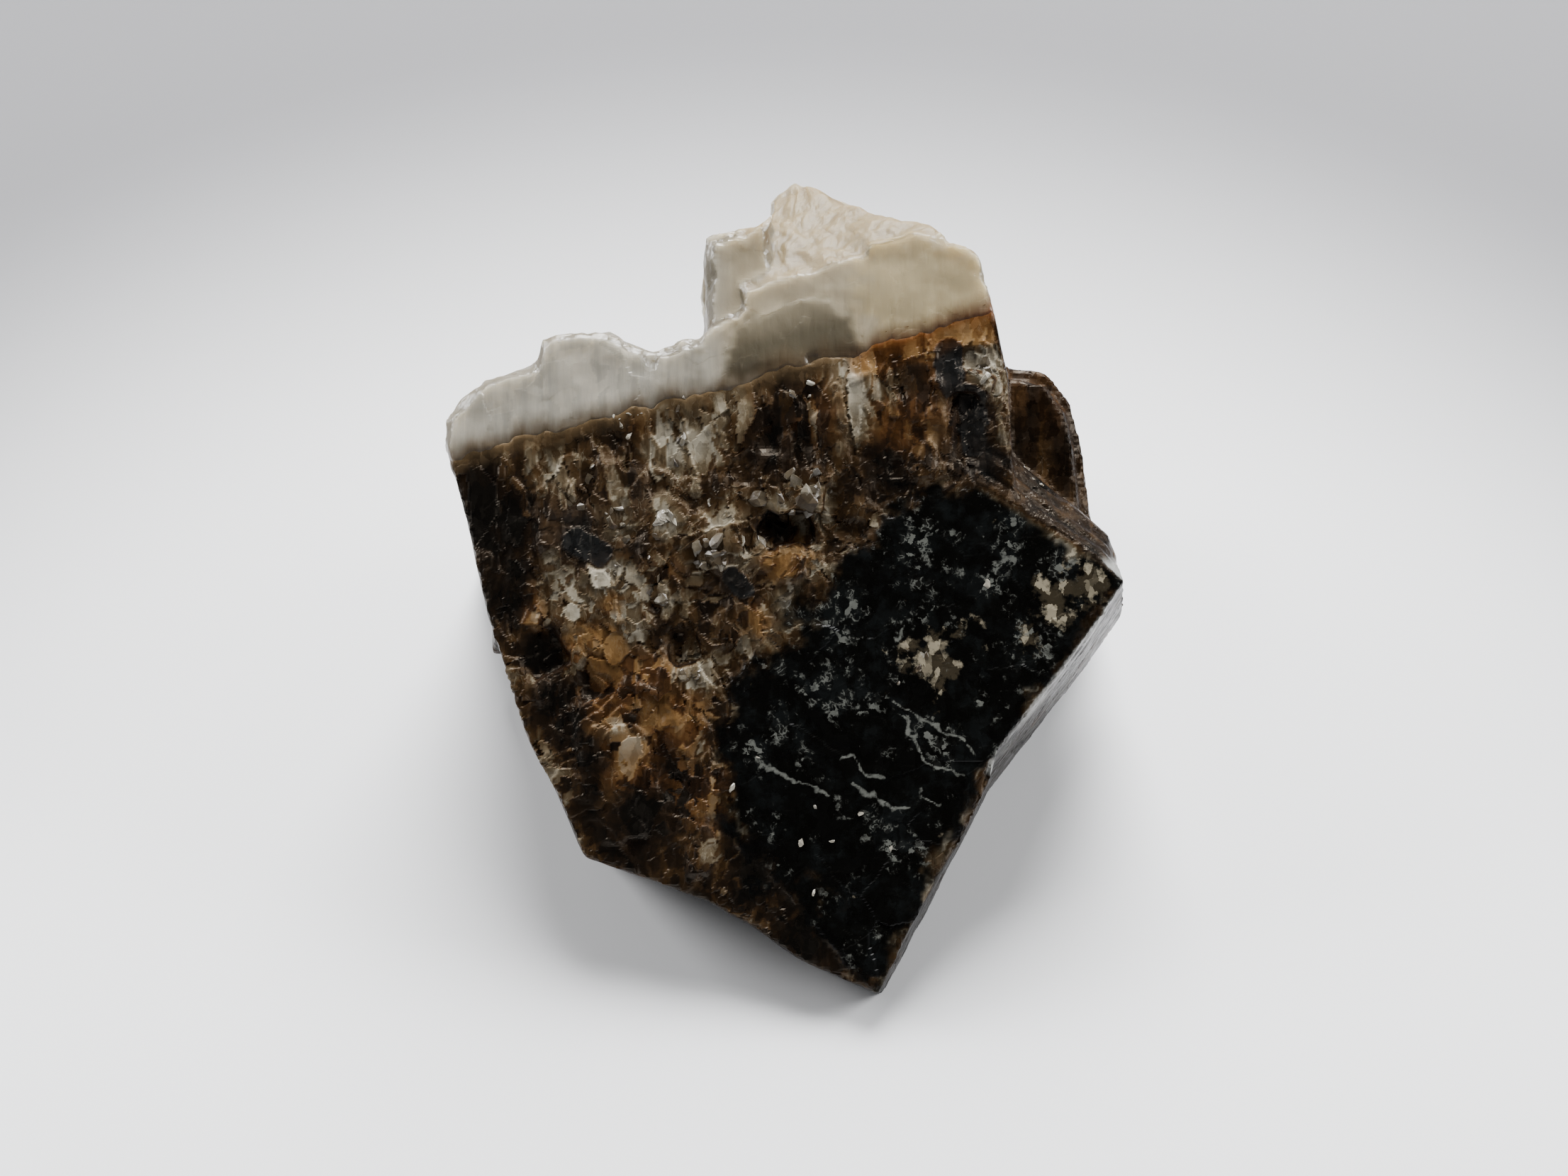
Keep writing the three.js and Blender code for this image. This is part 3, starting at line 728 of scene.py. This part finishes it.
def blockRelief(p, n):
    rear = smooth(-p[:, 2], 3, 4.4) * smooth(n[:, 2], 0.1, 0.5)
    facing = facingFront(n)
    deepest = blackCrystal["depth"]
    inBlack = depthInside(p, blackCrystal["outline"]) + cloud(p, 3.0, 3, 4) * 2.4 + 1.1 * cloud(p, 0.9, 9)
    black = smooth(inBlack, -1.4, 1.4) * smooth(p[:, 2], -deepest - 1, -deepest)
    front, marks = brownRelief(p)
    flat, blackMarks = blackRelief(p)
    side, sideTone, paintedReflection = sideRelief(p, n)
    edge, edgeTone, onEdge = edgeRelief(p)
    rearTone = darkSides["rearTone"] + 0.1 * cloud(p * (1, 0.14, 1), 0.9, 195, 3)
    rearTone = rearTone + 0.05 * cloud(p, 3, 197) + 0.1 * (marks["tone"] - 0.4)
    height = facing * ((1 - black) * front * (1 - 0.85 * rear) + black * flat)
    height += (1 - facing) * side * (1 - onEdge)
    height = height * (1 - 0.8 * onEdge) + edge * onEdge
    tone = facing * marks["tone"] + (1 - facing) * sideTone
    tone = tone + (rearTone - tone) * rear
    tone = tone + (edgeTone - tone) * onEdge
    height -= shaping["blockDrop"] * smooth(aboveRim(p) + fingers(p), -0.3, 0.9)
    sideRust = smooth(cloud(p, 5, 141, 4), 0.1, 0.6) * 0.6
    rust = facing * marks["rust"] + (1 - facing) * sideRust
    rust = rust + (0.05 + 0.3 * smooth(p[:, 1] + 0.55 * p[:, 0], 25.5, 28.5) - rust) * rear
    marks.update({name: values * facing for name, values in blackMarks.items()})
    marks.update({"black": black * (1 - onEdge), "tone": tone, "rust": rust * (1 - 0.7 * onEdge),
                  "paintedReflection": paintedReflection, "cool": marks["cool"] * facing * (1 - rear),
                  "facing": np.maximum(facing, 0.4 * rear), "glow": smooth(p[:, 0], 4, 8),
                  "above": smooth(aboveRim(p) + fingers(p), -2, 0.2)})
    return height, marks


def blockMaterial(name, level, tint, roughness):
    tree = Tree(name)
    tree.setFace()
    grain = tree.noise(tree.face, *crystals["grain"])
    where = jagged(tree, crystals["stretch"], *crystals["wander"])
    small = tree.cells(where, crystals["small"])
    bigTone = tree.firstPart(tree.cells(where, crystals["big"]))
    smallTone = tree.firstPart(small)
    colour = tree.mix(tree.mark("black"), brownColour(tree, where, bigTone, smallTone, grain),
                      blackColour(tree, smallTone, grain))
    broken = tree.calc("MULTIPLY_ADD", tree.mark("black"), -0.85, 1.0)
    broken = tree.calc("MULTIPLY", broken, tree.mark("facing"))
    leaning = facets(tree, tree.mix(broken, middleGrey + (1,), small), crystals["lean"])
    depth = tree.calc("MULTIPLY_ADD", broken, 0.9, 0.1)
    fine = tree.calc("MULTIPLY", tree.noise(tree.face, *crystals["fine"]), depth)
    tree.paint({"Base Color": colour, "Roughness": tree.calc("MULTIPLY_ADD", smallTone, 0.2, roughness),
                "IOR": crystals["ior"], "Specular IOR Level": level, "Specular Tint": tint,
                "Normal": bumped(tree, fine, 0.25, 0.1, leaning)})
    return tree.material


milkyRim = {
    "grey": srgb(170, 166, 154),
    "pale": srgb(196, 190, 175),
    "warm": srgb(178, 164, 134),
    "warmShare": 0.8,
    "tan": srgb(190, 175, 138),
    "band": srgb(98, 90, 72),
    "cream": srgb(136, 118, 81),
    "stain": srgb(104, 80, 50),
    "relief": {"plate": 0.08, "wave": 0.1, "fibre": 0.05, "rib": 0.17, "creamWave": 0.15},
    "glowDepth": 2.2,                 # how far light spreads inside
    "glowRadius": (1.0, 0.95, 0.85),
    "streakStretch": (1.5, 0.14, 1.0),
    "streaks": (0.9, 4, 0.6),         # noise: scale, detail, roughness
    "clouds": (0.3, 5, 0.6),
    "stains": (0.22, 6, 0.65),
    "waves": (1.0, 4, 0.55),
    "footStretch": (1, 0.3, 1),
    "foot": (1.3, 5, 0.65),
    "plates": [((4.5, 6, 4.5), 0.3, 185), ((2.6, 3, 2.6), 0.3, 187)],  # facets: size, rise, salt
    "peak": (0.5, 37.5),              # the ribs of the cream crystal spread from here
    # painted shade: darker spots among the rim's columns, x, y, radius, strength
    "paintedShadeSpots": [(-8.6, 19, 2.6, 0.2), (1.6, 26.4, 2.4, 0.18), (-4.5, 19.6, 2, 0.15)],
    "bandOutline": [(-5.2, 18.6), (-4.2, 23.1), (-0.6, 24.4), (2.9, 25.4), (5.3, 23.8), (6.6, 20.6)],
    "tanOutline": [(6.5, 20.4), (6.6, 30.6), (10.6, 31.4), (14, 30.6), (17, 29), (18.6, 23.5)],
}


def rimRelief(p, n):
    facing = facingFront(n)
    level3, slope3, _ = blocks(p, (3, 8, 3), 163)
    _, slope2, _ = blocks(bent(p, 1.2, 0.3, 153), (1.5, 1.5, 1.5), 157)
    cream = smooth(n[:, 1], 0.3, 0.6) * smooth(p[:, 0], -4.5, -3.5) * smooth(p[:, 2], -12, -8)
    back = (1 - facing) * (1 - cream)
    plate, plateShade, _ = hackly(bent(p, 2.5, 0.5, 183), milkyRim["plates"])
    relief = milkyRim["relief"]
    front = relief["plate"] * plate + relief["wave"] * cloud(p, 2.6, 167)
    height = facing * (front + relief["fibre"] * cloud(p * (1, 0.12, 1), 0.8, 171))
    broken = 0.5 * level3 + 0.3 * slope3 + 0.15 * cloud(p, 1.4, 169) + 0.2 * slope2
    height += back * smooth(-p[:, 2], 0.5, 7) * broken
    peakX, peakY = milkyRim["peak"]
    fan = np.arctan2(p[:, 0] - peakX, peakY - p[:, 1]) * 5 + cloud(p, 3, 175, 3)
    rib = cloud(np.stack([fan, p[:, 1] * 0.2, p[:, 2] * 0.2], axis=1), 1, 181, 4)
    height += cream * (relief["rib"] * rib + relief["creamWave"] * cloud(p, 2.4, 183, 4))
    height -= shaping["rimDrop"] * smooth(-aboveRim(p) - fingers(p), -0.1, 0.9)
    near = smooth(p[:, 2], -4, -2)
    band = smooth(depthInside(p, milkyRim["bandOutline"]) + 0.5 * cloud(p, 1.5, 187), -0.9, 0.4) * near
    band *= 0.6 + 0.4 * smooth(-aboveRim(p), -4.5, -2)
    # the painted shade spots darken the rim with the band colour
    for x, y, radius, strength in milkyRim["paintedShadeSpots"]:
        band = np.maximum(band, near * strength * mound(p, x, y, radius))
    paintedEdgeShade = smooth(p[:, 2], -7, -4) * smooth(-n[:, 2], -0.97, -0.75) * (1 - cream)  # rounded edges, painted darker as shade where they turn away from the front
    tan = smooth(depthInside(p, milkyRim["tanOutline"]) + 1.6 * cloud(p, 1.8, 189), -1, 1.4) * near
    above = smooth(aboveRim(p) + fingers(p) * 1.6, -0.6, 2.2)
    warm = smooth(p[:, 1], 17, 22) * smooth(p[:, 0], -7, -4) * near
    return height, {"cream": cream, "band": band, "tan": tan * (1 - cream), "back": back, "above": above,
                    "paintedEdgeShade": paintedEdgeShade, "warm": warm * (1 - cream), "glow": smooth(p[:, 0], 4, 8),
                    "tone": facing * plateShade + cream * (0.5 + 0.5 * rib) + back * (0.5 + level3)}


def rimColour(tree):
    clouds = tree.noise(tree.face, *milkyRim["clouds"])
    streaks = tree.noise(tree.mapped(milkyRim["streakStretch"]), *milkyRim["streaks"])
    tone = tree.calc("MULTIPLY_ADD", clouds, 0.4, tree.calc("MULTIPLY", tree.mark("tone"), 0.2))
    tone = tree.calc("MULTIPLY_ADD", streaks, 0.6, tone)
    tone = tree.ramp(tone, (0.48, milkyRim["grey"]), (0.7, milkyRim["pale"]))
    tone = tree.mix(tree.calc("MULTIPLY", tree.mark("warm"), milkyRim["warmShare"]), tone, milkyRim["warm"])
    tone = tree.mix(tree.mark("tan"), tone, milkyRim["tan"])
    tone = tree.mix(tree.mark("band"), tone, milkyRim["band"])
    inGrooves = tree.ramp(tree.mark("tone"), (0.1, 0.5), (0.6, 0.0))
    tone = tree.mix(tree.mark("cream"), tone, tree.mix(inGrooves, milkyRim["cream"], milkyRim["stain"]))
    # painted shade on the rounded edges of the rim
    tone = tree.mix(tree.calc("MULTIPLY", tree.mark("paintedEdgeShade"), 0.75), tone, milkyRim["band"])
    stained = tree.ramp(tree.noise(tree.face, *milkyRim["stains"]), (0.5, 0.0), (0.68, 0.7))
    tone = tree.mix(tree.calc("MULTIPLY", stained, tree.mark("back")), tone, milkyRim["stain"])
    fibres = tree.noise(tree.mapped(milkyRim["footStretch"]), *milkyRim["foot"])
    foot = tree.sway(tree.mark("above"), fibres, 0.5)
    foot = tree.ramp(foot, (0.0, 1.0), (0.25, 0.75), (0.9, 0.0))
    return tree.mix(foot, tone, footColour(tree))


def rimMaterial():
    tree = Tree("milky_rim")
    tree.setFace()
    waves = tree.noise(tree.face, *milkyRim["waves"])
    tree.paint({"Base Color": rimColour(tree),
                "Roughness": tree.calc("MULTIPLY_ADD", tree.mark("cream"), 0.25, 0.3),
                "IOR": crystals["ior"], "Transmission Weight": crystals["clear"],
                "Subsurface Weight": 1.0, "Subsurface Radius": milkyRim["glowRadius"],
                "Subsurface Scale": milkyRim["glowDepth"] * mm,
                "Normal": bumped(tree, waves, 0.2, 0.15, tree.normal())})
    return tree.material


# pale broken crystals lying on the front
paleFlakes = {
    "from": 30,                # they are laid down from this far before the face
    "tilt": 0.4,
    "width": (0.5, 1),
    "length": (0.8, 1.4),
    "thickness": (0.2, 0.4),
    "colours": [(0.0, srgb(54, 38, 20)), (0.35, srgb(90, 80, 62)), (1.0, srgb(176, 170, 155))],
    "roughness": 0.28,
    "grain": (1.6, 6, 0.65),   # noise: scale, detail, roughness
    "clusters": [  # x, y, spread, how many, size, paleness
        (-10.1, 7, 0.8, 12, 0.5, 0.85), (-13.6, 15.3, 1, 7, 0.35, 0.9), (-6.5, 4.3, 1.8, 10, 0.5, 0.35),
        (-14.4, 6.2, 1.3, 6, 0.35, 0.45), (-14.3, 2.7, 1.1, 5, 0.3, 0.6), (-7.8, -5.6, 1.2, 5, 0.4, 0.5),
        (0.4, 8.6, 1.6, 5, 0.5, 0.3), (-8.5, 14, 2.4, 7, 0.4, 0.5), (16.6, 19.2, 0.7, 7, 0.5, 0.7),
        (1.9, 10.2, 1.5, 8, 0.65, 0.5), (1.6, 17.6, 1, 3, 0.3, 0.45), (20.5, 9.4, 1.6, 4, 0.35, 0.4),
        (11, -4.8, 1.3, 5, 0.3, 0.4), (-0.4, 8.2, 1.2, 3, 1, 0.32), (-12, 4.6, 3.4, 6, 0.65, 0.3),
        (-5.6, 5.4, 2.4, 8, 0.7, 0.6), (-10.2, 0.2, 0.5, 3, 0.6, 0.6), (16.8, 19.2, 0.6, 4, 0.7, 0.5),
        (-17, 9, 3, 5, 0.5, 0.3),
    ],
    "chips": [  # x, y, size
        (1, -20, 0.42), (3.9, -19.9, 0.36), (7.7, -19.3, 0.3), (8.9, -20.6, 0.32), (2.3, -24.4, 0.3),
        (-4.6, -15.4, 0.45), (2.2, -17.3, 0.25), (6.2, -17.6, 0.25), (16.7, 1.6, 0.5),
        (-2.6, -12.9, 0.36), (11.2, -4.4, 0.36), (1.9, 18.3, 0.3),
    ],
}


def addFlake(ground, rng, x, y, size, pale):
    inwards = -(faceTurn @ Vector((0, 0, 1)))
    hit, where, normal, _ = ground.ray_cast(toRoom(x, y, paleFlakes["from"]), inwards)
    if not hit:
        return None
    tilt = paleFlakes["tilt"]
    lean = faceTurn @ Vector((rng.uniform(-tilt, tilt), rng.uniform(-tilt, tilt), 1))
    bpy.ops.mesh.primitive_ico_sphere_add(subdivisions=1, radius=size * mm, location=where,
                                          rotation=(normal * 0.4 + lean).to_track_quat("Z", "Y").to_euler())
    flake = bpy.context.active_object
    flake.scale = [rng.uniform(*paleFlakes[side]) for side in ("width", "length", "thickness")]
    flake.rotation_euler.rotate_axis("Z", rng.uniform(0, math.pi))
    layer = flake.data.attributes.new("pale", "FLOAT", "POINT")
    for value in layer.data:
        value.value = pale
    return flake


def makeFlakes(ground):
    rng = random.Random(11)
    made = []
    for x, y, spread, count, size, pale in paleFlakes["clusters"]:
        for _ in range(count):
            made.append(addFlake(ground, rng, rng.gauss(x, spread * 0.6), rng.gauss(y, spread * 0.6),
                                 size * rng.uniform(0.5, 1.2), pale * rng.uniform(0.4, 1.1)))
    for x, y, size in paleFlakes["chips"]:
        made.append(addFlake(ground, rng, x, y, size, 1))
    bpy.ops.object.select_all(action="DESELECT")
    for flake in filter(None, made):
        flake.select_set(True)
        bpy.context.view_layer.objects.active = flake
    bpy.ops.object.join()
    piece = bpy.context.active_object
    piece.name = "pale_flakes"
    bpy.ops.object.transform_apply(location=True, rotation=True, scale=True)
    writePoints(piece, fromFace(bent(toFace(readPoints(piece)), 0.7, 0.3, 201)))
    return piece


def flakeMaterial():
    tree = Tree("pale_flakes")
    tree.setFace()
    grain = tree.noise(tree.face, *paleFlakes["grain"])
    colour = tree.ramp(tree.sway(tree.mark("pale"), grain, 0.7), *paleFlakes["colours"])
    tree.paint({"Base Color": colour, "Roughness": paleFlakes["roughness"], "IOR": crystals["ior"],
                "Transmission Weight": crystals["clear"],
                "Normal": bumped(tree, grain, 0.5, 0.15, tree.normal())})
    return tree.material


# the pieces
block = copyOfStone("brown_front")
cutAtRim(block, shaping["cutOverlap"], keepAbove=False)
remesh(block, shaping["voxel"])
soften(block, shaping["blockSoftening"])
loosen(block, shaping["wander"])
divideFront(block)
roughen(block, blockRelief)
print("block shaped")
chips = makeFlakes(block)
chips.data.materials.append(flakeMaterial())
inBlackFace = (readMark(block, "black") > 0.5) & (readMark(block, "facing") > 0.3)
blackFace = split(block, inBlackFace, "black_crystal")
sides = split(block, readMark(block, "facing") < 0.3, "dark_sides")
for piece, look in ((block, brownFront), (blackFace, blackCrystal), (sides, darkSides)):
    piece.data.materials.append(blockMaterial(piece.name, **look["shine"]))
print("flakes, black crystal and sides made")

rim = copyOfStone("milky_rim")
cutAtRim(rim, -shaping["cutOverlap"], keepAbove=True)
remesh(rim, shaping["voxel"] * shaping["rimVoxelShare"])
soften(rim, shaping["rimSoftening"])
loosen(rim, shaping["wander"])
divideFront(rim)
roughen(rim, rimRelief)
rim.data.materials.append(rimMaterial())
print("rim made")

for piece in (block, blackFace, sides, rim, chips):
    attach(piece, "root")
    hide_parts(stone["node"])
    piece.data.calc_loop_triangles()
    print(piece.name, len(piece.data.loop_triangles), "triangles")

room = {
    "radius": 0.8, "height": 0.42, "curve": 0.25,
    "paperMiddle": (0, -0.05, 0),
    "paper": [(0.07, srgb(236, 237, 239)), (0.14, srgb(110, 110, 113))],  # metres from the middle, colour: a painted pool of light, pale round the stone and darker further out, where the darker paper also gives the stone less to reflect
    "worldColour": (1.0, 0.99, 0.97, 1), "worldStrength": 0.12,
    "lights": [  # name, place, aim, size, watts
        ("key", (0.05, 0.5, 0.55), (0, 0.0, 0.02), 0.5, 19.0),
        ("left", (-0.55, 0.2, 0.32), (0, 0, 0.02), 0.3, 4.4),
        ("right", (0.55, 0.12, 0.3), (0, 0, 0.02), 0.3, 4.2),
        ("wall", (0, 0.3, 0.7), (0, 0.85, 0.1), 0.3, 2.6),
    ],
}


def makeBackdrop():  # a round table whose edge curves up into a pale wall
    bpy.ops.object.select_all(action="DESELECT")
    bpy.ops.mesh.primitive_cylinder_add(vertices=96, radius=room["radius"], depth=room["height"],
                                        location=(0, 0, room["height"] / 2))
    paper = bpy.context.active_object
    paper.name = "backdrop"
    edit(bpy.ops.mesh.select_all, action="DESELECT")
    for face in paper.data.polygons:
        face.select = face.normal.z > 0.9
    edit(bpy.ops.mesh.delete, type="FACE")
    half = room["height"] / 2
    for edge in paper.data.edges:
        edge.select = all(paper.data.vertices[v].co.z < -half + 0.001 for v in edge.vertices)
    edit(bpy.ops.mesh.bevel, offset=room["curve"], segments=12, affect="EDGES")
    edit(bpy.ops.mesh.select_all, action="SELECT")
    edit(bpy.ops.mesh.flip_normals)
    bpy.ops.object.shade_smooth()
    paint = Tree("backdrop_paper")
    where = paint.add("ShaderNodeTexCoord").outputs["Object"]
    middle = Vector(room["paperMiddle"]) - paper.location
    away = paint.add("ShaderNodeVectorMath", {0: where, 1: tuple(middle)}, operation="DISTANCE")
    # painted pool of light: the paper is pale near the stone and darker further out
    paint.paint({"Base Color": paint.ramp(away.outputs["Value"], *room["paper"], ease="EASE"),
                 "Roughness": 0.7})
    paper.data.materials.append(paint.material)


def makeRoom():
    makeBackdrop()
    for name, place, aim, size, watts in room["lights"]:
        bpy.ops.object.light_add(type="AREA", location=place)
        light = bpy.context.active_object
        light.name = name
        light.data.shape = "DISK"
        light.data.size = size
        light.data.energy = watts
        light.rotation_euler = (Vector(aim) - Vector(place)).to_track_quat("-Z", "Y").to_euler()
    world = bpy.data.worlds.new("soft_room")
    bpy.context.scene.world = world
    world.use_nodes = True
    world.node_tree.nodes["Background"].inputs["Color"].default_value = room["worldColour"]
    world.node_tree.nodes["Background"].inputs["Strength"].default_value = room["worldStrength"]


view = {"lens": 84, "aimAt": (-0.2, 1.2, -4), "distance": 310}  # aim and distance in millimetres


def makeCamera():
    aim = toRoom(*view["aimAt"])
    outwards = faceTurn @ Vector((0, 0, 1))
    bpy.ops.object.camera_add(location=aim + outwards * view["distance"] * mm)
    camera = bpy.context.active_object
    camera.data.lens = view["lens"]
    camera.data.clip_start = 0.01
    camera.rotation_euler = (-outwards).to_track_quat("-Z", "Y").to_euler()
    bpy.context.scene.camera = camera


makeRoom()
makeCamera()
print("room and camera ready")
